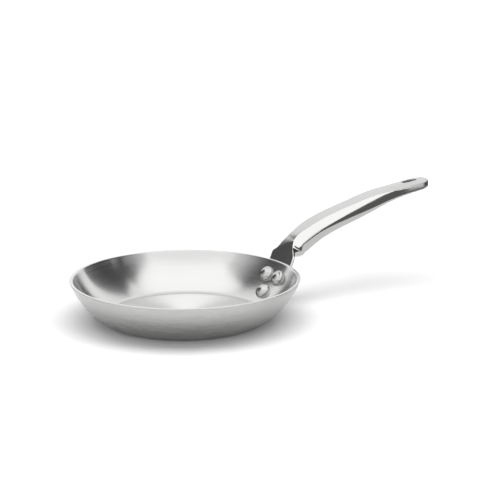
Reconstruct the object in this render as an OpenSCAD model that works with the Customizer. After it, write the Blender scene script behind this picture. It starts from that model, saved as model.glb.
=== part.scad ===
// Stainless frying pan: a bowl pressed from three bonded plies and one cast handle,
// held together by three solid rivets.
// The bowl's axis is Z, the table is Z = 0 and the handle points along +X.

/* [Bowl] */
// Outer radius of the rim
rim_r = 100; // [94:1:112]
// Height of the rim above the table
rim_h = 36; // [33:0.5:40]
// Radius of the flat base
base_r = 66; // [60:1:70]
// Outside radius of the bend from base to wall
bend_r = 13; // [9:0.5:18]
// Outside radius of the long curve of the wall
wall_r = 70; // [66:1:85]
// Thickness of the outer steel ply
outer_t = 0.5; // [0.4:0.1:0.8]
// Thickness of the aluminium core
core_t = 1.7; // [1.3:0.1:2.3]
// Thickness of the inner steel ply
inner_t = 0.5; // [0.4:0.1:0.8]

/* [Handle] */
// Length of the handle along its top line, from the rim to the tip
handle_run = 186; // [170:1:210]
// Width of the grip at its narrowest, just past the neck
grip_w = 19; // [17:0.5:22]
// Depth of the grip below its flat top
grip_depth = 20; // [18:0.5:23]
// Length of the rounded heel under the neck
heel_run = 7.5; // [5.5:0.5:9]
// Radius of the rounded edge round the tip
tip_edge_r = 2; // [1.5:0.1:3]
// Lean of the neck, measured up from level
neck_lean = 68; // [64:1:70]

/* [Hollow of the grip] */
// Thickness of the metal round the hollow
grip_wall = 2.5; // [2:0.1:4]
// Width of the slot that opens the hollow on the underside
mouth_w = 5; // [3:0.5:7]

/* [Hanging slot] */
// Length of the slot
slot_l = 16.8; // [14:0.2:19]
// Width of the slot
slot_w = 6.4; // [5:0.2:8]
// Metal between the slot and the tip
slot_margin = 11.5; // [10:0.1:14]

/* [Flange] */
// Width of the flange across its shoulders
flange_w = 34; // [32:0.5:38]
// Thickness of the flange
flange_t = 3; // [2.4:0.1:3.6]
// Height of the shoulders above the rim, along the neck
flange_rise = 7.2; // [5:0.2:8]
// Height above the rim at which the shoulders run into the neck, along the neck
neck_rise = 13.4; // [11:0.2:14]
// Radius of the shoulder corners
shoulder_r = 3.5; // [2.5:0.1:4.5]
// Radius of the lobe round the lower rivet
lobe_r = 8.4; // [7.6:0.1:9.4]
// Radius of the hollow bend from shoulder to neck
neck_corner_r = 12; // [8:1:16]

/* [Rivets] */
// Distance between the two upper rivets
rivet_pitch = 18.4; // [17:0.2:20]
// Drop of the upper rivets below the rim
upper_drop = 12; // [11:0.2:13]
// Drop of the lower rivet below the rim
lower_drop = 24.4; // [23:0.2:26]
// Diameter of the domed head inside the bowl
head_d = 14.4; // [12:0.2:15]
// Height of the domed head
head_h = 5; // [3.5:0.1:5.6]
// Height of the straight band under the dome
head_band = 1.2; // [0.6:0.1:1.6]
// Diameter of the shank
shank_d = 6; // [5:0.2:7]
// Diameter of the closed head outside the flange
tail_d = 10; // [8.6:0.2:10.6]
// Height of the closed head
tail_h = 2; // [1.4:0.1:2.6]
// Clearance of each shank in its holes, on the radius
shank_gap = 0.05; // [0.02:0.01:0.15]

/* [Hidden] */
$fn = 96;

// One overrun for every cut
over = 2;
// Step between faces of the casting that would otherwise coincide
skin = 0.2;

// Bowl: centres of the two tangent curves of its outside
wall_t = outer_t + core_t + inner_t;
rim_pt = [rim_r, rim_h];
bend_c = [base_r, bend_r];
bend_to_rim = rim_pt - bend_c;
span = norm(bend_to_rim);
near_r = wall_r - bend_r;
foot = (near_r^2 - wall_r^2 + span^2) / (2 * span);
reach = sqrt(near_r^2 - foot^2);
wall_c = bend_c + foot * bend_to_rim / span + reach * [-bend_to_rim.y, bend_to_rim.x] / span;
bend_turn = atan2(bend_c.x - wall_c.x, wall_c.y - bend_c.y);
rim_turn = atan2(rim_r - wall_c.x, wall_c.y - rim_h);

// Handle: its top line as a chain of tangent arcs
top_run_shares = [0, 0.075, 0.16, 0.34, 0.67, 0.85, 1];
top_leans = [neck_lean, neck_lean, 30.8, 16.8, 11.4, 7.2, 3];
// Shares of half the grip's width and of its depth, at places along the top line
flat_shares = [
    [0.03, 1.1], [0.075, 1.1], [0.086, 1.02], [0.102, 0.84], [0.12, 0.69], [0.15, 0.61], [0.19, 0.69],
    [0.24, 0.81], [0.36, 0.835], [0.5, 0.88], [0.6, 0.93], [0.68, 1.035], [0.76, 1.2], [0.84, 1.29],
    [1, 1.26]
];
wide_shares = [
    [0.03, 1.1], [0.075, 1.07], [0.12, 1], [0.2, 1.05], [0.34, 1.12], [0.53, 1.14], [0.68, 1.18],
    [0.76, 1.26], [0.84, 1.35], [1, 1.36]
];
depth_shares = [
    [0.03, 1], [0.16, 1.08], [0.27, 1], [0.36, 0.945], [0.45, 0.925], [0.52, 0.905],
    [0.6, 0.85], [0.68, 0.74], [0.745, 0.66], [0.825, 0.585], [0.904, 0.545], [1, 0.49]
];
// Drop of the top's edges below its middle line, as a share of half the grip's width where the top is
// that wide: nearly flat as far as the thumb lies, then crowned
crown_shares = [
    [0.03, 0.02], [0.5, 0.02], [0.62, 0.025], [0.7, 0.05], [0.78, 0.135], [0.86, 0.15], [1, 0.12]
];
// Depth of the widest line as a share of the whole depth there
wide_line_shares = [
    [0.03, 0.45], [0.15, 0.47], [0.24, 0.46], [0.5, 0.47], [0.64, 0.49], [0.8, 0.54], [1, 0.58]
];
// Fullness of the belly below the widest line, as shares of a straight flank's: 2 is an ellipse
belly_full_shares = [[0.03, 1.6], [0.16, 1.7], [0.34, 2.1], [0.5, 2.2], [0.7, 2.3], [1, 2.4]];
// Where the heel ends and how wide it starts
heel_share = 0.075;
heel_width_share = 0.6;
// Length of the rounding of the tip as a share of half the grip's width, and the angle of its last ring
tip_round_share = 1.3;
tip_last_turn = 86;
// Where the hollow starts and ends
hollow_start_share = 0.15;
hollow_end_share = 0.72;
// Arch of the hollow's roof as a share of half its width
hollow_arch_share = 0.15;
// Length of each rounded end of the hollow as a share of half the grip's width
hollow_round_share = 1.2;
// Steps of the skin along and round the grip and its hollow
heel_rings = 7;
body_rings = 44;
tip_rings = 8;
crown_steps = 2;
flank_steps = 3;
belly_steps = 7;
hollow_rings = 32;

top_runs = [for (share = top_run_shares) share * handle_run];
grip_half = grip_w / 2;
heel_top = heel_share * handle_run;
tip_round = tip_round_share * grip_half;

// Flange: its plane is square to the wall at the upper rivets
inner_r = wall_r - wall_t;
upper_tilt = asin((wall_c.y - rim_h + upper_drop) / inner_r);
lower_tilt = asin((wall_c.y - rim_h + lower_drop) / inner_r);
upper_reach = wall_c.x + inner_r * cos(upper_tilt);
upper_azimuth = asin(rivet_pitch / 2 / upper_reach);
neck_dir = [cos(neck_lean), sin(neck_lean)];
neck_normal = [sin(neck_lean), -cos(neck_lean)];
flange_up = [sin(upper_tilt), cos(upper_tilt)];
plate_run = heel_top + over;
lobe_z = -(wall_r + flange_t / 2) * sin(lower_tilt - upper_tilt);
waist_share = 0.25;
waist_z = waist_share * lobe_z;
waist_r_share = 0.5;
waist_r = waist_r_share * flange_w;
lobe_foot_share = 0.55;
lobe_bend_share = 0.9;
corner_steps = 6;
// Length by which the straight neck reaches down into the curved flange
joint_lap = 1;
// Half widths of the neck where the shoulders end and where it meets the grip
neck_foot_share = 1.147;
neck_top_share = 0.98;

// Smooth curve through a table of [place, value] pairs
function slope(table, i) =
    i == 0 ? (table[1][1] - table[0][1]) / (table[1][0] - table[0][0])
    : i == len(table) - 1 ? (table[i][1] - table[i - 1][1]) / (table[i][0] - table[i - 1][0])
    : (table[i + 1][1] - table[i - 1][1]) / (table[i + 1][0] - table[i - 1][0]);

function curve(t, table) =
    let (
        i = max([for (k = [0 : len(table) - 2]) table[k][0] <= t ? k : 0]),
        h = table[i + 1][0] - table[i][0],
        u = max(0, min(1, (t - table[i][0]) / h))
    )
    table[i][1] * (1 + 2 * u) * (1 - u)^2 + slope(table, i) * h * u * (1 - u)^2
    + table[i + 1][1] * u^2 * (3 - 2 * u) + slope(table, i + 1) * h * u^2 * (u - 1);

// End of an arc of length l that starts at p and turns from lean a to lean b
function arc_end(p, a, b, l) =
    abs(a - b) < 0.001 ? p + l * [cos(a), sin(a)]
    : p + l * 180 / PI / (b - a) * [sin(b) - sin(a), cos(a) - cos(b)];

function top_station(i) =
    i == 0 ? rim_pt
    : arc_end(top_station(i - 1), top_leans[i - 1], top_leans[i], top_runs[i] - top_runs[i - 1]);
top_stations = [for (i = [0 : len(top_runs) - 1]) top_station(i)];
lean_table = [for (i = [0 : len(top_runs) - 1]) [top_runs[i], top_leans[i]]];

// Lean and place of the top line at the distance s from the rim
function lean_at(s) = lookup(s, lean_table);
function top_at(s) =
    let (i = max([for (k = [0 : len(top_runs) - 2]) top_runs[k] <= s ? k : 0]))
    arc_end(top_stations[i], top_leans[i], lean_at(s), s - top_runs[i]);

// A point of the cross-section at s: y across, d down from the top line
function placed(s, y, d) =
    let (p = top_at(s), a = lean_at(s))
    [p.x + d * sin(a), y, p.y - d * cos(a)];

// How full the section is in the heel and how its outline closes at the tip, both from 0 to 1
function heel_full(s) = s >= heel_top ? 1 : sqrt(1 - ((heel_top - s) / heel_run)^2);
function tip_full(s) =
    s <= handle_run - tip_round ? 1 : sqrt(1 - ((s - handle_run + tip_round) / tip_round)^2);
function tip_drop(s) =
    s <= handle_run - tip_edge_r ? 0
    : tip_edge_r * (1 - sqrt(1 - ((s - handle_run + tip_edge_r) / tip_edge_r)^2));

// Sizes of the grip's section at s: half widths of its flat top and at its widest line, then the depths
// of its top, widest line and keel
function flat_half(s) = min(curve(s / handle_run, flat_shares) * grip_half * tip_full(s), wide_half(s));
function wide_half(s) =
    curve(s / handle_run, wide_shares) * grip_half * tip_full(s)
    * (heel_width_share + (1 - heel_width_share) * heel_full(s));
function crown_of(s) = curve(s / handle_run, crown_shares) * flat_half(s)^2 / grip_half;
function top_depth(s) = tip_drop(s) + (s < heel_top ? 2 * skin : 0);
function keel_depth(s) = curve(s / handle_run, depth_shares) * grip_depth * heel_full(s) - tip_drop(s);
function line_depth(s) =
    top_depth(s) + curve(s / handle_run, wide_line_shares) * (keel_depth(s) - top_depth(s));

// Right half of a section with those sizes, from the middle of its top to its keel, and never narrower
// than least below its widest line
function half_section(s, flat, wide, top, crown, line, keel, least) =
    let (full = curve(s / handle_run, belly_full_shares), edge = top + crown)
    concat(
        [for (k = [0 : crown_steps]) [flat * k / crown_steps, top + crown * (k / crown_steps)^2]],
        [for (k = [1 : flank_steps])
            let (a = k / flank_steps)
            [flat + (wide - flat) * (1 - (1 - a)^2), edge + (line - edge) * a]],
        [for (k = [1 : belly_steps])
            let (b = 90 * k / belly_steps, y = k == belly_steps ? 0 : wide * cos(b)^(2 / full))
            [max(least, y), line + (keel - line) * sin(b)^(2 / full)]]
    );

// Whole ring at s, from its right half
function ring(s, half) =
    let (left = [for (i = [len(half) - 1 : -1 : 0]) if (half[i][0] > 0) [-half[i][0], half[i][1]]])
    [for (p = concat(half, left)) placed(s, p[0], p[1])];

// Closed skin over a list of rings with the same number of points
module loft(rings) {
    n = len(rings[0]);
    m = len(rings);
    polyhedron(
        points = [for (r = rings) for (p = r) p],
        faces = concat(
            [[for (i = [n - 1 : -1 : 0]) i]],
            [[for (i = [0 : n - 1]) (m - 1) * n + i]],
            [for (j = [0 : m - 2]) for (i = [0 : n - 1])
                let (a = j * n + i, b = j * n + (i + 1) % n)
                [a, b, a + n]],
            [for (j = [0 : m - 2]) for (i = [0 : n - 1])
                let (a = j * n + i, b = j * n + (i + 1) % n)
                [b, b + n, a + n]]
        ),
        convexity = 6
    );
}

// Half of the bowl's outline filled in, at the depth d below its outside
module bowl_fill(d, end_turn, top) {
    far = 2 * wall_r;
    mid = (bend_turn + end_turn) / 2 - 90;
    translate([0, d]) square([base_r, top - d]);
    translate(bend_c) circle(bend_r - d);
    translate(wall_c)
        intersection() {
            circle(wall_r - d);
            polygon([
                [0, 0],
                far * [cos(bend_turn - 90), sin(bend_turn - 90)],
                far * [cos(mid), sin(mid)],
                far * [cos(end_turn - 90), sin(end_turn - 90)]
            ]);
        }
}

// Section of one ply, between two depths below the outside of the bowl
module ply_section(d1, d2) {
    difference() {
        bowl_fill(d1, rim_turn, rim_h);
        bowl_fill(d2, rim_turn + over, rim_h + over);
    }
}

// Moves a shape made round the origin to a rivet's axis: X runs outward through the wall
module on_rivet_axis(azimuth, tilt) {
    rotate([0, 0, azimuth]) translate([wall_c.x, 0, wall_c.y]) rotate([0, tilt, 0]) children();
}

module shank_holes(extra) {
    for (place = [[upper_azimuth, upper_tilt], [-upper_azimuth, upper_tilt], [0, lower_tilt]])
        on_rivet_axis(place[0], place[1])
            translate([inner_r - extra, 0, 0])
                rotate([0, 90, 0])
                    cylinder(h = wall_t + flange_t + 2 * extra, r = shank_d / 2 + shank_gap);
}

module ply(d1, d2) {
    difference() {
        rotate_extrude() ply_section(d1, d2);
        shank_holes(over);
    }
}

module outer_ply() {
    color("silver") ply(0, outer_t);
}

module core_ply() {
    color("gainsboro") ply(outer_t, outer_t + core_t);
}

module inner_ply() {
    color("lightgray") ply(outer_t + core_t, wall_t);
}

// Outline with its corners rounded, each to its own radius; a negative radius rounds a hollow corner
function rounded_corner(before, at, after, r) =
    let (
        u = (before - at) / norm(before - at),
        v = (after - at) / norm(after - at),
        half = acos(u * v) / 2,
        turn = 180 - 2 * half,
        c = at + r / sin(half) * (u + v) / norm(u + v),
        start = at + r / tan(half) * u - c,
        way = cross(u, v) < 0 ? 1 : -1
    )
    [for (k = [0 : corner_steps])
        let (a = way * turn * k / corner_steps)
        c + [start.x * cos(a) - start.y * sin(a), start.x * sin(a) + start.y * cos(a)]];
function rounded(points, radii) =
    let (n = len(points))
    [for (i = [0 : n - 1])
        for (p = rounded_corner(points[(i + n - 1) % n], points[i], points[(i + 1) % n], radii[i])) p];

// Front view of the flange: Y across, Z up along the wall
function plate_z(s) = (rim_pt + s * neck_dir - wall_c) * flange_up;
module flange_outline() {
    low = lobe_z - lobe_r;
    foot_half = lobe_foot_share * lobe_r;
    right = [[foot_half, low], [flange_w / 2, waist_z], [flange_w / 2, plate_z(flange_rise)],
        [neck_foot_share * grip_half, plate_z(neck_rise)],
        [neck_top_share * grip_half, plate_z(plate_run)]];
    left = [for (k = [len(right) - 1 : -1 : 0]) [-right[k].x, right[k].y]];
    bends = [lobe_r * lobe_bend_share, waist_r, shoulder_r, neck_corner_r, skin];
    flipped = [for (k = [len(bends) - 1 : -1 : 0]) bends[k]];
    polygon(rounded(concat(right, left), concat(bends, flipped)));
}

// Side view of the flange: round the wall below the rim, straight above it
module flange_side() {
    low = rim_pt - joint_lap * neck_dir;
    high = rim_pt + (plate_run + over) * neck_dir;
    difference() {
        bowl_fill(-flange_t, rim_turn, rim_h);
        bowl_fill(0, rim_turn + over, rim_h + over);
    }
    polygon([
        low + skin * neck_normal, high + skin * neck_normal,
        high + flange_t * neck_normal, low + (flange_t - skin) * neck_normal
    ]);
}

module flange() {
    intersection() {
        rotate_extrude() flange_side();
        translate([wall_c.x, 0, wall_c.y])
            rotate([0, upper_tilt, 0])
                rotate([90, 0, 90])
                    linear_extrude(height = 2 * wall_r) flange_outline();
    }
}

// Solid grip, neck and heel
module grip() {
    heel = [for (k = [1 : heel_rings]) heel_top - heel_run * cos(90 * k / (heel_rings + 1))];
    tip_start = handle_run - tip_round;
    body = [for (k = [0 : body_rings]) heel_top + (tip_start - heel_top) * k / body_rings];
    tip = [for (k = [1 : tip_rings]) tip_start + tip_round * sin(tip_last_turn * k / tip_rings)];
    loft([for (s = concat(heel, body, tip))
        ring(s, half_section(
            s, flat_half(s), wide_half(s), top_depth(s), crown_of(s), line_depth(s), keel_depth(s), 0
        ))]);
}

// Hollow inside the grip, rounded at both ends and open below through the slot
module hollow() {
    start = hollow_start_share * handle_run;
    end = hollow_end_share * handle_run;
    middle = (start + end) / 2;
    round = hollow_round_share * grip_half;
    loft([for (k = [0 : hollow_rings])
        let (
            s = middle - (end - start) / 2 * cos(180 * (k + 0.5) / (hollow_rings + 1)),
            off = min(s - start, end - s, round),
            open = sqrt(1 - (1 - off / round)^2),
            flat = open * (flat_half(s) - grip_wall),
            wide = open * (wide_half(s) - grip_wall),
            line = line_depth(s),
            top = line - open * (line - grip_wall),
            keel = line + open * (keel_depth(s) - grip_wall - line),
            least = open * mouth_w / 2
        )
        ring(s, concat(
            half_section(s, flat, wide, top, hollow_arch_share * flat, line, keel, least),
            [[least, keel_depth(s) + over]]
        ))]);
}

module hanging_slot() {
    s = handle_run - slot_margin - slot_l / 2;
    p = top_at(s);
    half = (slot_l - slot_w) / 2;
    translate([p.x, 0, p.y])
        rotate([0, -lean_at(s), 0])
            translate([0, 0, -grip_depth])
                linear_extrude(height = grip_depth + over) {
                    translate([-half, -slot_w / 2]) square([2 * half, slot_w]);
                    translate([-half, 0]) circle(slot_w / 2);
                    translate([half, 0]) circle(slot_w / 2);
                }
}

module handle() {
    color("whitesmoke")
        difference() {
            union() {
                flange();
                grip();
            }
            hollow();
            hanging_slot();
            shank_holes(over);
        }
}

// A turned rivet along X: domed head on the bowl's inside, shank, and closed head on the flange
module rivet(azimuth, tilt) {
    dome_h = head_h - head_band;
    dome_r = (head_d^2 / 4 + dome_h^2) / (2 * dome_h);
    tail_r = (tail_d^2 / 4 + tail_h^2) / (2 * tail_h);
    seat = sqrt(inner_r^2 - head_d^2 / 4);
    back = wall_r + flange_t;
    color("silver")
        on_rivet_axis(azimuth, tilt)
            rotate([0, 90, 0])
                rotate_extrude() {
                    intersection() {
                        translate([0, seat - head_h]) square([head_d / 2, head_h]);
                        translate([0, seat - head_h + dome_r]) circle(dome_r);
                    }
                    translate([0, seat - head_band])
                        square([shank_d / 2, back - seat + head_band + tail_h / 2]);
                    intersection() {
                        translate([0, back]) square([tail_d / 2, tail_h]);
                        translate([0, back + tail_h - tail_r]) circle(tail_r);
                    }
                }
}

module rivet_upper_left() {
    rivet(upper_azimuth, upper_tilt);
}

module rivet_upper_right() {
    rivet(-upper_azimuth, upper_tilt);
}

module rivet_lower() {
    rivet(0, lower_tilt);
}

outer_ply();
core_ply();
inner_ply();
handle();
rivet_upper_left();
rivet_upper_right();
rivet_lower();
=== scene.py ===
import math

import bmesh
import bpy
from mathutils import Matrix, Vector


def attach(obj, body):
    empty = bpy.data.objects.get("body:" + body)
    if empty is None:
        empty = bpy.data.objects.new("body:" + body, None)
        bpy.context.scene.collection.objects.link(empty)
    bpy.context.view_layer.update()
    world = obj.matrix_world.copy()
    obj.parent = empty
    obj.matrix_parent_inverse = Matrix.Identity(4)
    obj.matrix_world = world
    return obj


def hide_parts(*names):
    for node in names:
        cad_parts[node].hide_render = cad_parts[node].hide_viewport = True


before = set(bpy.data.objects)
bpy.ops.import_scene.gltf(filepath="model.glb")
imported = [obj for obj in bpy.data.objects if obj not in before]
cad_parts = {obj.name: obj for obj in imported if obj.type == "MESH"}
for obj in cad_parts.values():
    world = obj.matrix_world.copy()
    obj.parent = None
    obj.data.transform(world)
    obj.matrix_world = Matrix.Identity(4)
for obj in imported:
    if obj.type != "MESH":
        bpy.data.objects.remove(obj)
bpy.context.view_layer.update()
print("frame loaded:", sorted(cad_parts))

up = Vector((0, 0, 1))
mm = 0.001

camera = dict(
    elevation=13.866,    # degrees above level
    handleTurn=32.7,     # how far the handle points away from the picture's right
    distance=1.2,
    lens=100.0,
    sensor=36.0,
    farClip=50.0,
    aimAcross=0.056197,  # the aim point, to the right of the bowl's axis in the picture
    aimHeight=0.060227,
)
turn = math.radians(camera["handleTurn"])
lift = math.radians(camera["elevation"])
right = Vector((math.cos(turn), -math.sin(turn), 0))  # level directions of the picture
away = Vector((math.sin(turn), math.cos(turn), 0))


def addCamera():
    aim = right * camera["aimAcross"] + up * camera["aimHeight"]
    place = aim - away * camera["distance"] * math.cos(lift) + up * camera["distance"] * math.sin(lift)
    data = bpy.data.cameras.new("photoCamera")
    data.lens = camera["lens"]
    data.sensor_width = camera["sensor"]
    data.clip_end = camera["farClip"]
    body = bpy.data.objects.new("photoCamera", data)
    bpy.context.scene.collection.objects.link(body)
    body.location = place
    body.rotation_euler = (aim - place).to_track_quat("-Z", "Y").to_euler()
    bpy.context.scene.camera = body


addCamera()
print("camera placed")


# Small helpers for working in edit mode

def deselectAll():
    if bpy.context.mode != "OBJECT":
        bpy.ops.object.mode_set(mode="OBJECT")
    bpy.ops.object.select_all(action="DESELECT")


def pick(piece, kind, test):
    # selects the verts, edges or faces that pass the test, and nothing else
    mesh = bmesh.from_edit_mesh(piece.data)
    for parts in (mesh.faces, mesh.edges, mesh.verts):
        for part in parts:
            part.select = False
    for part in getattr(mesh, kind):
        part.select = bool(test(part))
    mesh.select_flush(kind == "verts")
    bmesh.update_edit_mesh(piece.data)


def selectBy(kind):
    bpy.ops.mesh.select_mode(type=kind)


def move(value):
    bpy.ops.transform.translate(value=tuple(value))


def extrudeBy(value):
    bpy.ops.mesh.extrude_region_move(TRANSFORM_OT_translate={"value": tuple(value)})


def drawLine(name, points):
    # one vertex, extruded from point to point
    deselectAll()
    bpy.ops.mesh.primitive_plane_add(size=mm, location=points[0])
    piece = bpy.context.object
    piece.name = name
    bpy.ops.object.transform_apply(location=True, rotation=True, scale=True)
    bpy.ops.object.mode_set(mode="EDIT")
    selectBy("VERT")
    bpy.ops.mesh.select_all(action="SELECT")
    bpy.ops.mesh.merge(type="CENTER")
    for a, b in zip(points, points[1:]):
        extrudeBy(b - a)
    return piece


def turned(name, outline, steps, keepAngle=30):
    # a half outline in the XZ plane, spun round Z and closed at its poles
    piece = drawLine(name, [Vector((r, 0, z)) for r, z in outline])
    bpy.ops.mesh.select_all(action="SELECT")
    bpy.ops.mesh.spin(steps=steps, angle=math.tau, center=(0, 0, 0), axis=(0, 0, 1))
    bpy.ops.mesh.select_all(action="SELECT")
    bpy.ops.mesh.remove_doubles(threshold=0.002 * mm)
    bpy.ops.mesh.normals_make_consistent(inside=False)
    bpy.ops.object.mode_set(mode="OBJECT")
    bpy.ops.object.shade_smooth_by_angle(angle=math.radians(keepAngle))
    return piece


def arc(centre, radius, start, end, steps):
    # points of an arc, angles in degrees up from the X direction
    out = []
    for k in range(steps + 1):
        a = math.radians(start + (end - start) * k / steps)
        out.append((centre[0] + radius * math.cos(a), centre[1] + radius * math.sin(a)))
    return out


# The bowl: three plies spun from their half sections

bowl = dict(
    rimRadius=100 * mm,
    rimHeight=36 * mm,
    baseRadius=66 * mm,
    bendRadius=13 * mm,
    wallRadius=70 * mm,
    outerPly=0.5 * mm,
    corePly=1.7 * mm,
    innerPly=0.5 * mm,
    rimRound=0.28 * mm,   # the broken edges of the cut rim
    rimOut=(-1.1, -28, 90),   # where each rounding's centre stands, in radii, and its angles
    rimIn=(0.95, 90, 152),
    flatSteps=6,
    bendSteps=14,
    wallSteps=40,
    rimSteps=5,
    spinSteps=288,
)


def bowlCentres():
    # centres of the bend and of the wall's long curve, which touch, with the wall through the rim
    bend = Vector((bowl["baseRadius"], bowl["bendRadius"]))
    rim = Vector((bowl["rimRadius"], bowl["rimHeight"]))
    gap = rim - bend
    span = gap.length
    near = bowl["wallRadius"] - bowl["bendRadius"]
    foot = (near ** 2 - bowl["wallRadius"] ** 2 + span ** 2) / (2 * span)
    reach = math.sqrt(near ** 2 - foot ** 2)
    wall = bend + foot * gap / span + reach * Vector((-gap.y, gap.x)) / span
    return bend, wall


bendCentre, wallCentre = bowlCentres()
wallThickness = bowl["outerPly"] + bowl["corePly"] + bowl["innerPly"]


def bowlLine(depth):
    # half section of the bowl at a depth below its outside, from the axis to the rim
    joint = math.degrees(math.atan2(bendCentre.y - wallCentre.y, bendCentre.x - wallCentre.x))
    radius = bowl["wallRadius"] - depth
    rimTurn = math.degrees(math.asin((bowl["rimHeight"] - wallCentre.y) / radius))
    flat = [(bowl["baseRadius"] * k / bowl["flatSteps"], depth) for k in range(bowl["flatSteps"])]
    bend = arc(bendCentre, bowl["bendRadius"] - depth, -90, joint, bowl["bendSteps"])
    wall = arc(wallCentre, radius, joint, rimTurn, bowl["wallSteps"])
    return flat + bend + wall[1:]


def makePly(name, depthOut, depthIn, rimOut=None, rimIn=None):
    # the section between two depths, with the rim's edges rounded where the ply has them
    outer = bowlLine(depthOut)
    inner = bowlLine(depthIn)
    edge = bowl["rimRound"]
    rim = []
    for line, rounding in ((outer, rimOut), (inner, rimIn)):
        if rounding:
            r, z = line.pop()
            off, start, end = rounding
            rim += arc((r + edge * off, z - edge), edge, start, end, bowl["rimSteps"])
    return turned(name, outer + rim + inner[::-1], bowl["spinSteps"])


outerPly = makePly("outerPly", 0, bowl["outerPly"], rimOut=bowl["rimOut"])
corePly = makePly("corePly", bowl["outerPly"], bowl["outerPly"] + bowl["corePly"])
innerPly = makePly("innerPly", bowl["outerPly"] + bowl["corePly"], wallThickness, rimIn=bowl["rimIn"])
print("bowl spun:", [len(p.data.polygons) for p in (outerPly, corePly, innerPly)])


# The rivets: turned, then set square to the wall

rivet = dict(
    headAcross=14.4 * mm,
    headHeight=5 * mm,
    headBand=1.2 * mm,
    shankAcross=6 * mm,
    tailAcross=10 * mm,
    tailHeight=2 * mm,
    edgeRound=0.35 * mm,
    pitch=18.4 * mm,
    upperDrop=12 * mm,    # below the rim
    lowerDrop=24.4 * mm,
    flangeThickness=3 * mm,
    headSteps=14,
    tailSteps=8,
    spinSteps=72,
    keepAngle=40,         # edges sharper than this stay sharp, in degrees
)
innerRadius = bowl["wallRadius"] - wallThickness


def tiltAt(drop):
    return math.asin((wallCentre.y - bowl["rimHeight"] + drop) / innerRadius)


def capArc(half, height, base, steps, sign):
    # a low dome from its middle to its edge
    radius = (half ** 2 + height ** 2) / (2 * height)
    out = []
    for k in range(steps + 1):
        a = math.asin(half / radius) * k / steps
        out.append((radius * math.sin(a), base + sign * (height - radius * (1 - math.cos(a)))))
    return out


def rivetOutline():
    half = rivet["headAcross"] / 2
    tail = rivet["tailAcross"] / 2
    shank = rivet["shankAcross"] / 2
    edge = rivet["edgeRound"]
    seat = math.sqrt(innerRadius ** 2 - half ** 2)
    back = bowl["wallRadius"] + rivet["flangeThickness"]
    band = seat - rivet["headBand"]
    dome = rivet["headHeight"] - rivet["headBand"]
    head = capArc(half - edge * 0.3, dome, band, rivet["headSteps"], -1)
    side = [(half, band + edge), (half, seat - edge * 0.4), (half - edge * 0.4, seat), (shank, seat)]
    closed = capArc(tail - edge * 0.3, rivet["tailHeight"] - edge, back + edge, rivet["tailSteps"], 1)[::-1]
    return head + side + [(shank, back), (tail - edge * 0.3, back), (tail, back + edge * 0.5)] + closed


def makeRivet(name, azimuth, tilt):
    piece = turned(name, rivetOutline(), rivet["spinSteps"], rivet["keepAngle"])
    place = Vector((wallCentre.x * math.cos(azimuth), wallCentre.x * math.sin(azimuth), wallCentre.y))
    piece.rotation_euler = (0, math.pi / 2 + tilt, azimuth)
    piece.location = place
    bpy.ops.object.transform_apply(location=True, rotation=True, scale=True)
    return piece


upperTilt = tiltAt(rivet["upperDrop"])
lowerTilt = tiltAt(rivet["lowerDrop"])
upperReach = wallCentre.x + innerRadius * math.cos(upperTilt)
upperAzimuth = math.asin(rivet["pitch"] / 2 / upperReach)
upperLeftRivet = makeRivet("upperLeftRivet", upperAzimuth, upperTilt)
upperRightRivet = makeRivet("upperRightRivet", -upperAzimuth, upperTilt)
lowerRivet = makeRivet("lowerRivet", 0, lowerTilt)
print("rivets set")


# The handle: half a cage drawn ring by ring from the flange's lobe to the tip, mirrored and subdivided

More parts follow.
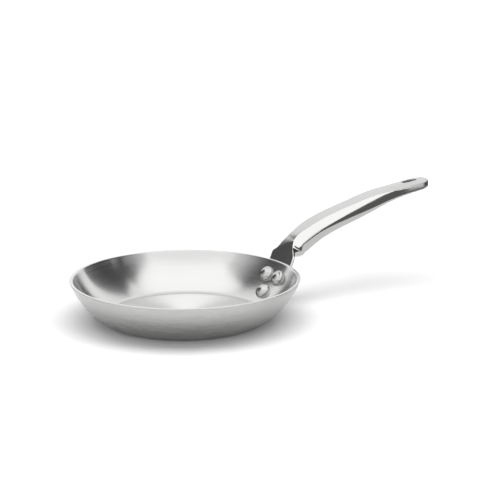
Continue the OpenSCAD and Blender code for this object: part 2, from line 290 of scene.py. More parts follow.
handle = dict(
    run=186 * mm,            # along the top line, from the rim to the tip
    halfWidth=9.5 * mm,
    depth=20 * mm,
    neckLean=68,             # degrees up from level
    heelShare=0.075,
    heelRun=7.5 * mm,
    heelWidth=1.04,          # as a share of the half width
    heelStart=0.6,           # the heel's width where it begins, as a share of its full width
    tipRound=12.35 * mm,
    tipEdge=2 * mm,
    leanRuns=[0, 0.075, 0.16, 0.34, 0.67, 0.85, 1],
    leans=[68, 68, 30.8, 16.8, 11.4, 7.2, 3],
    # tables along the grip, by share of the run: half widths of the flat top and of the flanks, depth, the
    # crown's height, the height of the widest line and the belly's fullness
    flat=[(0.03, 1.1), (0.075, 1.1), (0.086, 1.02), (0.102, 0.84), (0.12, 0.69), (0.15, 0.61),
          (0.19, 0.69), (0.24, 0.81), (0.36, 0.835), (0.5, 0.88), (0.6, 0.93), (0.68, 1.035),
          (0.76, 1.2), (0.84, 1.29), (1, 1.26)],
    wide=[(0.03, 1.1), (0.075, 1.07), (0.12, 1), (0.2, 1.05), (0.34, 1.12), (0.53, 1.14), (0.68, 1.18),
          (0.76, 1.26), (0.84, 1.35), (1, 1.36)],
    deep=[(0.03, 1), (0.16, 1.08), (0.27, 1), (0.36, 0.945), (0.45, 0.925), (0.52, 0.905),
          (0.6, 0.85), (0.68, 0.74), (0.745, 0.66), (0.825, 0.585), (0.904, 0.545), (1, 0.49)],
    crown=[(0.03, 0.02), (0.5, 0.02), (0.62, 0.025), (0.7, 0.05), (0.78, 0.135), (0.86, 0.15), (1, 0.12)],
    line=[(0.03, 0.45), (0.15, 0.47), (0.24, 0.46), (0.5, 0.47), (0.64, 0.49), (0.8, 0.54), (1, 0.58)],
    belly=[(0.03, 1.6), (0.16, 1.7), (0.34, 2.1), (0.5, 2.2), (0.7, 2.3), (1, 2.4)],
    topSpots=[(0.42, 0.18), (0.86, 0.74)],   # cage rows on the top: shares of its half width and crown
    flankShares=(0.24, 0.6),                 # cage rows on the flank, above the widest line
    bellyAngles=(22, 42, 61),                # cage rows below it, in degrees round the belly
    mouthShare=0.985,                        # depth of the mouth's edge, as a share of the keel's
    slotLength=16.8 * mm,
    slotWidth=6.4 * mm,
    slotMargin=11.5 * mm,
    slotCrease=0.75,
    mouth=5 * mm,            # the open line along the underside
    mouthStart=0.16,
    mouthEnd=0.71,
    mouthLip=0.5 * mm,
    mouthDepth=11 * mm,
    satinFrom=3 * mm,        # where the satin top's faces begin
    flangeHalf=17 * mm,
    flangeThickness=3 * mm,
    flangeRise=7.2 * mm,
    flangeCorner=3.5 * mm,
    flangeWaist=0.25,        # where the flange is fully wide, as a share of the lobe's depth
    neckRise=13.4 * mm,
    neckFoot=1.147,          # shares of the half width, at the neck's foot and top
    neckTop=0.98,
    neckShare=0.086,         # the neck's top along the run
    neckCorner=12 * mm,
    lobeRadius=8.4 * mm,
    lobeFoot=0.55,           # shares of the lobe's radius
    lobeCorner=0.9,
    wrapEnd=1.16,            # where the plate is flat and no longer round with the bowl, and the stretch
    wrapRun=0.5,             # over which it turns so, as shares of the heel's place
    # cage rows round the flange: shares of its half width and thickness, on the face, on a plain back and
    # on a back that swells into the heel
    faceSpots=[(0, 0), (0.4, 0), (0.86, 0), (0.985, 0.1), (1, 0.34), (1, 0.66), (0.985, 0.92)],
    backShares=(0.86, 0.66, 0.45, 0.22, 0),
    heelShoulder=(0.92, 0.16),
    heelSpots=[(0.9, 0.5), (0.66, 0.8), (0.3, 0.98)],
    leastBulge=0.2 * mm,
    # cage rings in millimetres, up from the flange's foot and then along the top line
    flangeRings=(0, 0.25, 0.9, 2.2, 4.2, 6.8, 9.8, 13, 16.4, 20, 24, 28, 31.5),
    neckRings=(0.5, 3.4, 5.6, 7, 8.6, 10.4, 12.4),
    gripRings=(15, 17.6, 20.4, 23.4, 26.6, 30.4, 35, 40.5, 47, 54.5, 63, 72, 81.5, 91, 100.5, 110, 119,
               127.5, 135.5, 143, 149.5, 154),
    tipRings=(177.8, 180.4, 182.5, 184.1, 185.2, 185.8, 186),
    # how sharp the top's edge is: from, to (millimetres along the top line) and crease
    creases=[(-60, 12, 0.35), (12, 100, 0.92), (100, 130, 0.8), (130, 143, 0.5), (143, 190, 0.1)],
    cageSwell=1.022,         # a cage stands proud of the smooth surface that it gives
    smoothing=3,
)


def curveAt(t, table):
    # smooth curve through a table of (place, value) pairs
    last = len(table) - 1

    def slope(i):
        a = table[max(0, i - 1)]
        b = table[min(last, i + 1)]
        return (b[1] - a[1]) / (b[0] - a[0])

    i = max([k for k in range(last) if table[k][0] <= t] or [0])
    h = table[i + 1][0] - table[i][0]
    u = max(0, min(1, (t - table[i][0]) / h))
    return (table[i][1] * (1 + 2 * u) * (1 - u) ** 2 + slope(i) * h * u * (1 - u) ** 2
            + table[i + 1][1] * u ** 2 * (3 - 2 * u) + slope(i + 1) * h * u ** 2 * (u - 1))


def arcEnd(p, a, b, length):
    if abs(a - b) < 0.001:
        return p + length * Vector((math.cos(math.radians(a)), math.sin(math.radians(a))))
    ra, rb = math.radians(a), math.radians(b)
    return p + length / (rb - ra) * Vector((math.sin(rb) - math.sin(ra), math.cos(ra) - math.cos(rb)))


runs = [share * handle["run"] for share in handle["leanRuns"]]
stations = [Vector((bowl["rimRadius"], bowl["rimHeight"]))]
for i in range(1, len(runs)):
    leanA, leanB = handle["leans"][i - 1], handle["leans"][i]
    stations.append(arcEnd(stations[-1], leanA, leanB, runs[i] - runs[i - 1]))


def leanAt(s):
    if s <= 0:
        return handle["leans"][0]
    i = max(k for k in range(len(runs) - 1) if runs[k] <= s)
    u = min(1, (s - runs[i]) / (runs[i + 1] - runs[i]))
    return handle["leans"][i] + u * (handle["leans"][i + 1] - handle["leans"][i])


def topAt(s):
    if s <= 0:
        return stations[0]
    i = max(k for k in range(len(runs) - 1) if runs[k] <= s)
    return arcEnd(stations[i], handle["leans"][i], leanAt(s), s - runs[i])


def gripHalf(s):
    # half section of the grip at s: (across, down) pairs from the middle of the top to the keel
    t = s / handle["run"]
    left = max(0, s - handle["run"] + handle["tipRound"]) / handle["tipRound"]
    tip = math.sqrt(max(0, 1 - left ** 2))
    over = max(0, s - handle["run"] + handle["tipEdge"]) / handle["tipEdge"]
    drop = handle["tipEdge"] * (1 - math.sqrt(max(0, 1 - over ** 2)))
    swell = handle["cageSwell"]
    wide = curveAt(t, handle["wide"]) * handle["halfWidth"] * tip
    flat = min(curveAt(t, handle["flat"]) * handle["halfWidth"] * tip, wide)
    keel = curveAt(t, handle["deep"]) * handle["depth"] - drop
    crown = curveAt(t, handle["crown"]) * flat ** 2 / handle["halfWidth"]
    line = drop + curveAt(t, handle["line"]) * (keel - drop)
    full = curveAt(t, handle["belly"])
    edge = drop + crown
    points = [(0, drop)]
    points += [(flat * a, drop + crown * b) for a, b in handle["topSpots"]]
    points.append((flat, edge))
    for a in handle["flankShares"]:
        points.append((flat + (wide - flat) * (1 - (1 - a) ** 2), edge + (line - edge) * a))
    points.append((wide * swell, line))
    for b in handle["bellyAngles"]:
        y = wide * math.cos(math.radians(b)) ** (2 / full)
        d = line + (keel - line) * math.sin(math.radians(b)) ** (2 / full)
        points.append((y * swell, line + (d - line) * swell))
    deepest = line + (keel - line) * (1 + swell) / 2
    points.append((handle["mouth"] / 2 * tip, line + (deepest - line) * handle["mouthShare"]))
    points.append((0, deepest))
    return points


def roundedOutline(points, radii, steps=6):
    # an open outline with its corners rounded
    out = [Vector(points[0])]
    for before, at, after, radius in zip(points, points[1:], points[2:], radii):
        at = Vector(at)
        u = (Vector(before) - at).normalized()
        v = (Vector(after) - at).normalized()
        half = math.acos(max(-1, min(1, u.dot(v)))) / 2
        middle = at + radius / math.sin(half) * (u + v).normalized()
        start = at + radius / math.tan(half) * u - middle
        way = 1 if u.x * v.y - u.y * v.x < 0 else -1
        for k in range(steps + 1):
            a = way * (math.pi - 2 * half) * k / steps
            out.append(middle + Vector((start.x * math.cos(a) - start.y * math.sin(a),
                                        start.x * math.sin(a) + start.y * math.cos(a))))
    out.append(Vector(points[-1]))
    return out


wallUp = Vector((math.sin(upperTilt), math.cos(upperTilt)))
neckWay = Vector((math.cos(math.radians(handle["neckLean"])), math.sin(math.radians(handle["neckLean"]))))
neckNormal = Vector((neckWay.y, -neckWay.x))


def plateHeight(s):
    # height of a point of the top line in the flange's own plane
    return (stations[0] + s * neckWay - wallCentre).dot(wallUp)


def flangeEdge():
    # right edge of the flange in its own plane, from the lobe's foot to the neck
    lobe = -(bowl["wallRadius"] + handle["flangeThickness"] / 2) * math.sin(lowerTilt - upperTilt)
    low = lobe - handle["lobeRadius"]
    foot = handle["lobeFoot"] * handle["lobeRadius"]
    wide = handle["flangeHalf"]
    points = [(-foot, low), (foot, low), (wide, handle["flangeWaist"] * lobe),
              (wide, plateHeight(handle["flangeRise"])),
              (handle["neckFoot"] * handle["halfWidth"], plateHeight(handle["neckRise"])),
              (handle["neckTop"] * handle["halfWidth"], plateHeight(handle["neckShare"] * handle["run"]))]
    lobeRound = handle["lobeCorner"] * handle["lobeRadius"]
    radii = [lobeRound, wide, handle["flangeCorner"], handle["neckCorner"]]
    return [p for p in roundedOutline(points, radii) if p.x >= 0], low


flangeLine, flangeFoot = flangeEdge()


def flangeHalfAt(height):
    first = flangeLine[0]
    if height <= first.y:
        return max(0, min(1, (height - flangeFoot) / max(1e-9, first.y - flangeFoot))) * first.x
    for a, b in zip(flangeLine, flangeLine[1:]):
        if a.y <= height <= b.y and b.y > a.y:
            return a.x + (b.x - a.x) * (height - a.y) / (b.y - a.y)
    return flangeLine[-1].x


def plateFrame(s):
    # place, up direction and outward normal of the plate's inner face, below and above the rim
    if s >= 0:
        return stations[0] + s * neckWay, neckNormal
    rimAngle = math.asin((bowl["rimHeight"] - wallCentre.y) / bowl["wallRadius"])
    a = rimAngle + s / bowl["wallRadius"]
    out = Vector((math.cos(a), math.sin(a)))
    return wallCentre + bowl["wallRadius"] * out, out


def plateHalf(s):
    # half width of the plate at s, measured round the bowl
    place, out = plateFrame(s)
    half = flangeHalfAt((place - wallCentre).dot(wallUp))
    for k in range(3):
        lean = place.x * (1 - math.cos(half / place.x))
        half = flangeHalfAt((place - Vector((lean, 0)) - wallCentre).dot(wallUp))
    return half


def flangeRing(s):
    # right half of a ring of the flange, as points in space
    half = plateHalf(s)
    thick = handle["flangeThickness"]
    top = handle["heelShare"] * handle["run"]
    full = math.sqrt(max(0, 1 - (max(0, top - s) / handle["heelRun"]) ** 2))
    share = max(handle["deep"][0][0], s / handle["run"])
    keel = max(thick, handle["depth"] * curveAt(share, handle["deep"]) * full)
    bulge = keel - thick
    spots = [(half * a, thick * b) for a, b in handle["faceSpots"]]
    if bulge > handle["leastBulge"]:
        grow = handle["heelStart"] + (1 - handle["heelStart"]) * full
        grip = handle["halfWidth"] * handle["heelWidth"] * grow
        across, down = handle["heelShoulder"]
        spots.append((min(half * across, grip), thick + bulge * down))
        spots += [(grip * a, thick + bulge * b) for a, b in handle["heelSpots"]] + [(0, keel)]
    else:
        spots += [(half * a, thick) for a in handle["backShares"]]
    place, out = plateFrame(s)
    wrap = max(0, min(1, (handle["wrapEnd"] * top - s) / (handle["wrapRun"] * top)))
    ring = []
    for y, d in spots:
        p = place + d * out
        angle = y / place.x * wrap
        ring.append(Vector((p.x * math.cos(angle), p.x * math.sin(angle) + y * (1 - wrap), p.y)))
    return ring


def gripRing(s):
    place, lean = topAt(s), math.radians(leanAt(s))
    return [Vector((place.x + d * math.sin(lean), y, place.y - d * math.cos(lean))) for y, d in gripHalf(s)]


def slotRing(s, end):
    # a ring of the grip with its two middle rows set to the slot's outline
    half = handle["slotWidth"] / 2
    diagonal = half * math.sqrt(0.5)
    ring = gripRing(s)
    lean = math.radians(leanAt(s))
    along = Vector((math.cos(lean), 0, math.sin(lean)))
    for spot in (1, 10):
        centre = ring[0] if spot == 1 else ring[11]
        if end:
            ring[spot] = centre - along * end * (half - diagonal) + Vector((0, diagonal, 0))
        else:
            ring[spot] = centre + Vector((0, half, 0))
    return ring


def footPlace():
    # where along the plate the flange's foot lies, found by halving
    low, high = -60 * mm, 0
    for k in range(40):
        s = (low + high) / 2
        place, out = plateFrame(s)
        if (place - wallCentre).dot(wallUp) > flangeFoot:
            high = s
        else:
            low = s
    return s


def handleRings():
    # every ring as (place along the top line, points), and where the slot starts and ends
    foot = footPlace()
    rings = [(foot + s * mm, flangeRing(foot + s * mm)) for s in handle["flangeRings"]]
    rings += [(s * mm, flangeRing(s * mm)) for s in handle["neckRings"]]
    rings += [(s * mm, gripRing(s * mm)) for s in handle["gripRings"]]
    reach = handle["slotLength"] / 2
    straight = reach - handle["slotWidth"] / 2
    middle = handle["run"] - handle["slotMargin"] - reach
    for s, end in ((-reach, -1), (-straight, 0), (0, 0), (straight, 0), (reach, 1)):
        rings.append((middle + s, slotRing(middle + s, end)))
    rings += [(s * mm, gripRing(s * mm)) for s in handle["tipRings"]]
    return rings, middle - reach, middle + reach


def tagsOf(piece):
    # two numbers kept on each vertex: its spot on its ring, and which ring
    layers = bmesh.from_edit_mesh(piece.data).verts.layers.int
    return layers.get("spot"), layers.get("ring")


def numberSpots(piece, start):
    # walks along the first ring from its start
    mesh = bmesh.from_edit_mesh(piece.data)
    for name in ("spot", "ring"):
        mesh.verts.layers.int.new(name)
    spotTag, ringTag = tagsOf(piece)
    ends = [v for v in mesh.verts if len(v.link_edges) == 1]
    vert = min(ends, key=lambda v: (v.co - start).length)
    edge = None
    for k in range(len(mesh.verts)):
        vert[spotTag] = k
        onward = [e for e in vert.link_edges if e != edge]
        if onward:
            edge = onward[0]
            vert = edge.other_vert(vert)
    bmesh.update_edit_mesh(piece.data)


def drawRings(piece, rings, steadySpot=4):
    # extrudes ring after ring, each by one spot's way, and then moves the other spots into place
    bpy.ops.mesh.select_all(action="SELECT")
    for j in range(1, len(rings)):
        before, after = rings[j - 1][1], rings[j][1]
        shift = after[steadySpot] - before[steadySpot]
        extrudeBy(shift)
        mesh = bmesh.from_edit_mesh(piece.data)
        spotTag, ringTag = tagsOf(piece)
        for vert in mesh.verts:
            if vert.select:
                vert[ringTag] = j
        bmesh.update_edit_mesh(piece.data)
        for k in range(len(after)):
            gap = after[k] - before[k] - shift
            if gap.length > 1e-7:
                pick(piece, "verts", lambda v: v[ringTag] == j and v[spotTag] == k)
                move(gap)
                spotTag, ringTag = tagsOf(piece)   # read again, as a tool can renew them
        pick(piece, "verts", lambda v: v[ringTag] == j)


def pickRows(piece, kind, places, rows, start, end):
    # faces or edges of the cage that lie in one of the rows of spots, from start to end along the handle
    spotTag, ringTag = tagsOf(piece)

    def inRow(part, spots):
        return all(v[spotTag] in spots and start <= places[v[ringTag]] <= end for v in part.verts)

    pick(piece, kind, lambda part: any(inRow(part, spots) for spots in rows))


def giveMaterial(piece, place):
    piece.active_material_index = place
    bpy.ops.object.material_slot_assign()


def makeHandle():
    rings, slotStart, slotEnd = handleRings()
    places = [s for s, ring in rings]
    piece = drawLine("castHandle", rings[0][1])
    numberSpots(piece, rings[0][1][0])
    drawRings(piece, rings)
    bpy.ops.object.mode_set(mode="OBJECT")
    mirror = piece.modifiers.new("otherHalf", "MIRROR")
    mirror.use_axis = (False, True, False)
    mirror.merge_threshold = 0.02 * mm
    bpy.ops.object.modifier_apply(modifier=mirror.name)
    bpy.ops.object.mode_set(mode="EDIT")
    bpy.ops.mesh.select_all(action="SELECT")
    bpy.ops.mesh.remove_doubles(threshold=0.03 * mm)
    bpy.ops.mesh.normals_make_consistent(inside=False)
    for k in range(3):   # polished, satin, and as cast in the slot, where a darker tone is painted shade
        piece.data.materials.append(None)
    selectBy("FACE")     # the satin top, from the neck to the tip
    pickRows(piece, "faces", places, [(0, 1, 2, 3)], handle["satinFrom"], handle["run"])
    giveMaterial(piece, 1)
    # the hanging slot: both skins opened, then bridged
    pickRows(piece, "faces", places, [(0, 1), (10, 11)], slotStart, slotEnd)
    bpy.ops.mesh.delete(type="FACE")
    selectBy("EDGE")
    pick(piece, "edges", lambda e: len(e.link_faces) == 1)
    bpy.ops.transform.edge_crease(value=handle["slotCrease"])
    bpy.ops.mesh.bridge_edge_loops()
    selectBy("FACE")
    # the slot's walls: a rough cast finish, and a darker tone that is painted shade inside the hole
    giveMaterial(piece, 2)
    # the open line along the underside
    start, end = handle["mouthStart"] * handle["run"], handle["mouthEnd"] * handle["run"]
    pickRows(piece, "faces", places, [(10, 11)], start, end)
    bpy.ops.mesh.inset(thickness=handle["mouthLip"], depth=0)
    for sink in (handle["mouthLip"], handle["mouthDepth"]):
        bpy.ops.mesh.extrude_region_shrink_fatten(TRANSFORM_OT_shrink_fatten={"value": -sink})
    selectBy("EDGE")
    for low, high, crease in handle["creases"]:
        pickRows(piece, "edges", places, [(3,)], low * mm, high * mm)
        bpy.ops.transform.edge_crease(value=crease)
    bpy.ops.object.mode_set(mode="OBJECT")
    smooth = piece.modifiers.new("smooth", "SUBSURF")
    smooth.levels = handle["smoothing"]
    smooth.render_levels = handle["smoothing"]
    bpy.ops.object.modifier_apply(modifier=smooth.name)
    bpy.ops.object.shade_smooth()
    return piece


castHandle = makeHandle()
print("handle smoothed:", len(castHandle.data.polygons), "faces")


# Materials. Each is metal with its own grain; the numbers are what a user would change

finish = dict(
    outerSteel=dict(tone=(0.575, 0.575, 0.57), rough=0.30, grain=0.8, lines=5200, bump=0.05, streak=0.03),
    innerSteel=dict(tone=(0.69, 0.69, 0.685), rough=0.20, grain=0.9, lines=6000, bump=0.04, streak=0.03,
                    # the floor lift is painted light: a brighter tone on the flat floor for the light it
                    # reflects
                    floorRough=0.32, floorPaintedLift=1.2),
    coreAlloy=dict(tone=(0.72, 0.72, 0.72), rough=0.3, scale=900, bump=0.3),
    polishedSteel=dict(tone=(0.85, 0.85, 0.84), rough=0.07, scale=300, stretch=(0.2, 1, 1), bump=0.05,
                       tipRough=0.24, tipFrom=0.222, tipTo=0.245),
    satinSteel=dict(tone=(0.60, 0.60, 0.595), rough=0.3, scale=1400, stretch=(0.12, 1, 1), bump=0.25,
                    polishRough=0.08, polishTone=1.42, edgeHeight=0.053, edgeSlope=0.5, edgeBlur=0.0012),
    # the slot's steel: the rough cast finish is its own, the dark tone is painted shade inside the slot
    slotSteelAndShade=dict(tone=(0.36, 0.36, 0.357), rough=0.45, scale=700, bump=0.4),
    rivetSteel=dict(tone=(0.54, 0.54, 0.535), rough=0.12, scale=500, bump=0.1),
)
# what both brushed skins of the bowl share
brushing = dict(
    turnedAcross=0.25,      # a quarter turn, so that reflections smear across the brushing
    fineRound=2.2,          # how soon the fine lines and the broad streaks change on their way round
    broadRound=1.1,
    broadEvery=7,           # fine lines to a broad streak
    fineDetail=2,
    broadDetail=3,
    middle=(0.3, 0.7),      # the noise's middle values, which are spread over the whole range
    fineShare=0.6,          # how dark the fine lines are beside the broad streaks
    cloudScale=16,
    cloudDetail=2,
    cloudRough=(0.92, 1.08),
    streakRough=(0.9, 1.1),
    floorFade=(-6 * mm, 4 * mm),   # from the base's edge: where the floor's duller finish and its painted lift pass into the wall's
    bumpDepth=0.04 * mm,
)
# what all the plain metals share
plain = dict(
    grainDetail=4,
    grainRough=(0.8, 1.25),
    cloudScale=40,
    cloudDetail=3,
    cloudTone=(0.95, 1.03),
    bumpDepth=0.05 * mm,
)


def newMaterial(name, metal=1):
    material = bpy.data.materials.new(name)
    material.use_nodes = True
    tree = material.node_tree
    shader = tree.nodes["Principled BSDF"]
    shader.inputs["Metallic"].default_value = metal
    return material, tree, shader


def feed(tree, socket, value):
    # a link from another node, or a plain number, colour or direction
    if isinstance(value, bpy.types.NodeSocket):
        tree.links.new(value, socket)
    else:
        socket.default_value = value


def addNode(tree, kind, feeds=(), **settings):
    # a node with its settings made and its inputs fed, in order or by name; gives its outputs
    node = tree.nodes.new("ShaderNode" + kind)
    for name, value in settings.items():
        setattr(node, name, value)
    for key, value in feeds.items() if isinstance(feeds, dict) else enumerate(feeds):
        feed(tree, node.inputs[key], value)
    return node.outputs


def mathNode(tree, operation, *values):
    return addNode(tree, "Math", values, operation=operation)[0]


def remap(tree, value, start, end, low, high, soft=False):
    # turns start to end into low to high, evenly or with soft ends
    kind = "SMOOTHSTEP" if soft else "LINEAR"
    return addNode(tree, "MapRange", (value, start, end, low, high), interpolation_type=kind)[0]


def noiseOn(tree, place, scale, detail):
    return addNode(tree, "TexNoise", {"Vector": place, "Scale": scale, "Detail": detail})["Fac"]


def tinted(tree, tone, shade):
    # a tone times a shade, fed to the mix node's factor and its two colours
    feeds = {0: 1, 6: (*tone, 1), 7: shade}
    return addNode(tree, "Mix", feeds, data_type="RGBA", blend_type="MULTIPLY")[2]


def addBump(tree, shader, height, strength, depth):
    bump = addNode(tree, "Bump", {"Strength": strength, "Distance": depth, "Height": height})
    feed(tree, shader.inputs["Normal"], bump[0])


def ringGrain(name, spec):
    # steel brushed round the bowl's axis: fine rings, a few longer streaks and a slight cloudiness
    material, tree, shader = newMaterial(name)
    place = addNode(tree, "TexCoord")["Object"]
    x, y, z = addNode(tree, "SeparateXYZ", [place])
    level = addNode(tree, "CombineXYZ", [x, y])[0]
    out = addNode(tree, "VectorMath", [level], operation="LENGTH")["Value"]
    angle = mathNode(tree, "ARCTAN2", y, x)
    polar = addNode(tree, "CombineXYZ", [out, z, angle])[0]   # how far out, how far up, how far round

    def rings(across, around, detail):
        scaled = addNode(tree, "VectorMath", [polar, (across, across, around)], operation="MULTIPLY")[0]
        return noiseOn(tree, scaled, 1, detail)

    def spread(value, low, high):
        return remap(tree, value, *brushing["middle"], low, high)

    def onFloor(value, elsewhere):   # one value on the flat floor, another on the wall
        start, end = (bowl["baseRadius"] + step for step in brushing["floorFade"])
        return remap(tree, out, start, end, value, elsewhere, soft=True)

    fine = rings(spec["lines"], brushing["fineRound"], brushing["fineDetail"])
    broad = rings(spec["lines"] / brushing["broadEvery"], brushing["broadRound"], brushing["broadDetail"])
    cloud = noiseOn(tree, place, brushing["cloudScale"], brushing["cloudDetail"])
    streak = spec["streak"]
    line = streak * brushing["fineShare"]
    shade = mathNode(tree, "MULTIPLY", spread(broad, 1 - streak, 1), spread(fine, 1 - line, 1))
    streakRough = [spec["rough"] * share for share in brushing["streakRough"]]
    rough = mathNode(tree, "MULTIPLY", spread(cloud, *brushing["cloudRough"]), spread(broad, *streakRough))
    if "floorPaintedLift" in spec:   # the flat floor's tone is lifted as painted light, for the brighter light it reflects; its finish is also duller than the wall's
        shade = mathNode(tree, "MULTIPLY", shade, onFloor(spec["floorPaintedLift"], 1))
        rough = mathNode(tree, "ADD", rough, onFloor(spec["floorRough"], 0))
    feed(tree, shader.inputs["Base Color"], tinted(tree, spec["tone"], shade))
    feed(tree, shader.inputs["Roughness"], rough)
    shader.inputs["Anisotropic"].default_value = spec["grain"]
    shader.inputs["Anisotropic Rotation"].default_value = brushing["turnedAcross"]
    feed(tree, shader.inputs["Tangent"], addNode(tree, "Tangent", direction_type="RADIAL", axis="Z")[0])
    addBump(tree, shader, fine, spec["bump"], brushing["bumpDepth"])
    return material


def plainGrain(name, spec):
    # polished, satin or cast metal: a light uneven grain, stretched where the finish says so
    material, tree, shader = newMaterial(name)
    place = addNode(tree, "TexCoord")["Object"]
    drawn = addNode(tree, "Mapping", {"Vector": place, "Scale": spec.get("stretch", (1, 1, 1))})[0]
    grain = noiseOn(tree, drawn, spec["scale"], plain["grainDetail"])
    cloud = noiseOn(tree, place, plain["cloudScale"], plain["cloudDetail"])
    shade = remap(tree, cloud, 0, 1, *plain["cloudTone"])
    rough = remap(tree, grain, 0, 1, *[spec["rough"] * share for share in plain["grainRough"]])
    x, y, z = addNode(tree, "SeparateXYZ", [place])
    if "polishRough" in spec:   # below a slanting line on the neck the satin gives way to polish
        slant = mathNode(tree, "MULTIPLY_ADD", y, spec["edgeSlope"], z)
        edge, blur = spec["edgeHeight"], spec["edgeBlur"]
        above = remap(tree, slant, edge - blur, edge + blur, 0, 1, soft=True)
        rough = addNode(tree, "Mix", {0: above, 2: spec["polishRough"], 3: rough})[0]
        shade = mathNode(tree, "MULTIPLY", shade, remap(tree, above, 0, 1, spec["polishTone"], 1))
    elif "tipRough" in spec:   # the polish gives way to a duller finish towards the tip
        far = remap(tree, x, spec["tipFrom"], spec["tipTo"], 0, spec["tipRough"], soft=True)
        rough = mathNode(tree, "ADD", rough, far)
    feed(tree, shader.inputs["Base Color"], tinted(tree, spec["tone"], shade))
    feed(tree, shader.inputs["Roughness"], rough)
    addBump(tree, shader, grain, spec["bump"], plain["bumpDepth"])
    return material


outerPly.data.materials.append(ringGrain("brushedOuterSteel", finish["outerSteel"]))
corePly.data.materials.append(plainGrain("coreAlloy", finish["coreAlloy"]))
innerPly.data.materials.append(ringGrain("brushedInnerSteel", finish["innerSteel"]))
castHandle.data.materials[0] = plainGrain("polishedHandleSteel", finish["polishedSteel"])
castHandle.data.materials[1] = plainGrain("satinHandleTop", finish["satinSteel"])
castHandle.data.materials[2] = plainGrain("castSlotSteelAndShade", finish["slotSteelAndShade"])
rivetSteel = plainGrain("rivetSteel", finish["rivetSteel"])
for piece in (upperLeftRivet, upperRightRivet, lowerRivet):
    piece.data.materials.append(rivetSteel)
print("materials on")

stands = (
    (outerPly, "outer_ply", "outer_steel"),
    (corePly, "core_ply", "core"),
    (innerPly, "inner_ply", "inner_steel"),
    (castHandle, "handle", "handle_steel"),
    (upperLeftRivet, "rivet_upper_left", "rivet_steel"),
    (upperRightRivet, "rivet_upper_right", "rivet_steel"),
    (lowerRivet, "rivet_lower", "rivet_steel"),
)
for piece, node, slot in stands:
    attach(piece, "root")
    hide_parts(node)
print("pieces riding:", len(stands))


# The stage: pale floor, white surroundings, one soft lamp and cards that only reflections see

stage = dict(
    floorRadius=6,
    floorSides=96,
    floorTone=0.80,
    floorRough=0.9,
    floorShine=0.1,
    floorGlow=0.05,       # added for the camera only, so that the floor reads white round the shadow
    farGlow=0.9,          # the same further off, where the lamp reaches less
    glowFrom=0.25,
    glowTo=0.9,
    worldGlow=1.10,       # what the camera and reflections see past the floor
    worldFill=0.40,       # what lights the floor, besides the lamp
    lampPlace=(0, -0.03),  # to the picture's right and away from the camera
    lampHeight=1.2,
    lampSize=(1.9, 1.0),
    lampPower=21.0,
)

# each upright card: a corner on the floor plan, the opposite corner, the height of its foot, the heights of
# its top at both corners, its tones there and how far along it the first has half turned into the second;
# the plan is in metres to the picture's right and away from the camera
cards = dict(
    rightNear=dict(start=(0.07, -0.012), end=(0.07, 0.09), foot=0.08, tops=(0.13, 0.19), tones=(0.6, 0.04),
                   turnAt=0.33),
    rightFar=dict(start=(0.5, 0.09), end=(0.5, 0.60), tops=(0.68, 0.9), tones=(0.03, 0.14)),
    rightLow=dict(start=(0.5, -0.15), end=(0.5, -0.05), tops=(0.03, 0.27), tones=(0.10, 0.10)),
    rightMiddle=dict(start=(0.5, -0.05), end=(0.5, 0.04), tops=(0.27, 0.07), tones=(0.10, 0.14)),
    tipSide=dict(start=(0.5, 0.04), end=(0.5, 0.09), tops=(0.07, 0.40), tones=(0.14, 0.08)),
    left=dict(start=(-0.45, -0.25), end=(-0.45, 0.30), tops=(0.66, 0.66), tones=(0.85, 0.08), turnAt=0.40),
    leftEnd=dict(start=(-0.45, 0.30), end=(-0.45, 0.50), tops=(0.66, 0.26), tones=(0.08, 0.10)),
)
# each level card: its middle on the floor plan, its height, size and tone
levelCards = dict(
    rightFloor=dict(middle=(0.42, -0.12), height=0.001, size=(0.24, 0.6), tone=0.10),
    underHandle=dict(middle=(0.215, 0.03), height=0.001, size=(0.17, 0.3), tone=0.62),
    overhead=dict(middle=(0.0, -0.15), height=0.8, size=(1.2, 0.9), tone=1.4),
)
white = (1, 1, 1, 1)
black = (0, 0, 0, 1)


def makeFloor():
    deselectAll()
    sides, radius = stage["floorSides"], stage["floorRadius"]
    bpy.ops.mesh.primitive_circle_add(vertices=sides, radius=radius, fill_type="NGON")
    floor = bpy.context.object
    floor.name = "floor"
    material, tree, shader = newMaterial("paleFloor", metal=0)
    tone = stage["floorTone"]
    shader.inputs["Base Color"].default_value = (tone, tone, tone, 1)
    shader.inputs["Roughness"].default_value = stage["floorRough"]
    shader.inputs["Specular IOR Level"].default_value = stage["floorShine"]
    shader.inputs["Emission Color"].default_value = white
    place = addNode(tree, "TexCoord")["Object"]
    out = addNode(tree, "VectorMath", [place], operation="LENGTH")["Value"]
    start, end = stage["glowFrom"], stage["glowTo"]
    far = remap(tree, out, start, end, stage["floorGlow"], stage["farGlow"], soft=True)
    seen = addNode(tree, "LightPath")["Is Camera Ray"]
    feed(tree, shader.inputs["Emission Strength"], mathNode(tree, "MULTIPLY", seen, far))
    floor.data.materials.append(material)


def makeSurroundings():
    # white where they are seen, also in reflections, and dimmer as a light
    world = bpy.data.worlds.new("paleSurroundings")
    bpy.context.scene.world = world
    world.use_nodes = True
    tree = world.node_tree
    back = tree.nodes["Background"]
    back.inputs["Color"].default_value = white
    paths = addNode(tree, "LightPath")
    seen = mathNode(tree, "MAXIMUM", paths["Is Camera Ray"], paths["Is Glossy Ray"])
    seen = mathNode(tree, "MAXIMUM", seen, paths["Is Transmission Ray"])
    feed(tree, back.inputs["Strength"], remap(tree, seen, 0, 1, stage["worldFill"], stage["worldGlow"]))


def planPoint(point, height):
    return right * point[0] + away * point[1] + up * height


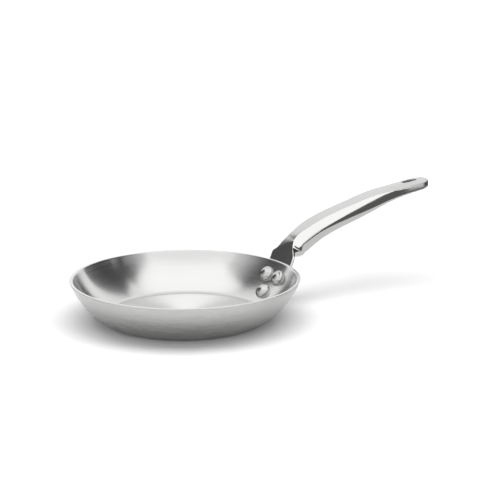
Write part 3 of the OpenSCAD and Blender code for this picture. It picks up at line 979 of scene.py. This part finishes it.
def addLamp():
    # a level lamp, turned with the picture
    data = bpy.data.lights.new("overheadLamp", "AREA")
    data.shape = "RECTANGLE"
    data.size, data.size_y = stage["lampSize"]
    data.energy = stage["lampPower"]
    lamp = bpy.data.objects.new("overheadLamp", data)
    bpy.context.scene.collection.objects.link(lamp)
    lamp.location = planPoint(stage["lampPlace"], stage["lampHeight"])
    lamp.rotation_euler = (0, 0, -turn)
    lamp.visible_glossy = False   # reflections see the overhead card instead


def dressCard(card, tones, start, along, turnAt=0.5):
    # an even glow that passes from one tone to the other along the card, seen in reflections alone
    material, tree, shader = newMaterial(card.name, metal=0)
    shader.inputs["Base Color"].default_value = black
    shader.inputs["Roughness"].default_value = 1
    shader.inputs["Specular IOR Level"].default_value = 0
    shader.inputs["Emission Color"].default_value = white
    place = addNode(tree, "TexCoord")["Object"]
    offset = addNode(tree, "VectorMath", [place, start], operation="SUBTRACT")[0]
    scaled = along / along.length_squared
    share = addNode(tree, "VectorMath", [offset, scaled], operation="DOT_PRODUCT")["Value"]
    feed(tree, shader.inputs["Emission Strength"], remap(tree, share, 0, 2 * turnAt, *tones, soft=True))
    card.data.materials.append(material)
    card.visible_camera = False
    card.visible_diffuse = False
    card.visible_shadow = False


def addCard(name, spec):
    # an upright card, drawn as a line and extruded up
    foot = spec.get("foot", 0)
    start, end = planPoint(spec["start"], foot), planPoint(spec["end"], foot)
    card = drawLine(name, [start, end])
    bpy.ops.mesh.select_all(action="SELECT")
    rise = up * (spec["tops"][0] - foot)
    extrudeBy(rise)
    pick(card, "verts", lambda v: (v.co - end - rise).length < mm)
    move(up * (spec["tops"][1] - spec["tops"][0]))
    bpy.ops.object.mode_set(mode="OBJECT")
    dressCard(card, spec["tones"], start, end - start, spec.get("turnAt", 0.5))


def addLevelCard(name, spec):
    deselectAll()
    bpy.ops.mesh.primitive_plane_add(size=1, location=planPoint(spec["middle"], spec["height"]))
    card = bpy.context.object
    card.name = name
    card.scale = (*spec["size"], 1)
    card.rotation_euler = (0, 0, -turn)
    bpy.ops.object.transform_apply(location=True, rotation=True, scale=True)
    dressCard(card, (spec["tone"], spec["tone"]), Vector((0, 0, 0)), right)


makeFloor()
makeSurroundings()
addLamp()
for name, spec in cards.items():
    addCard(name + "Card", spec)
for name, spec in levelCards.items():
    addLevelCard(name + "Card", spec)
print("stage set")

bpy.context.scene.view_settings.view_transform = "Standard"
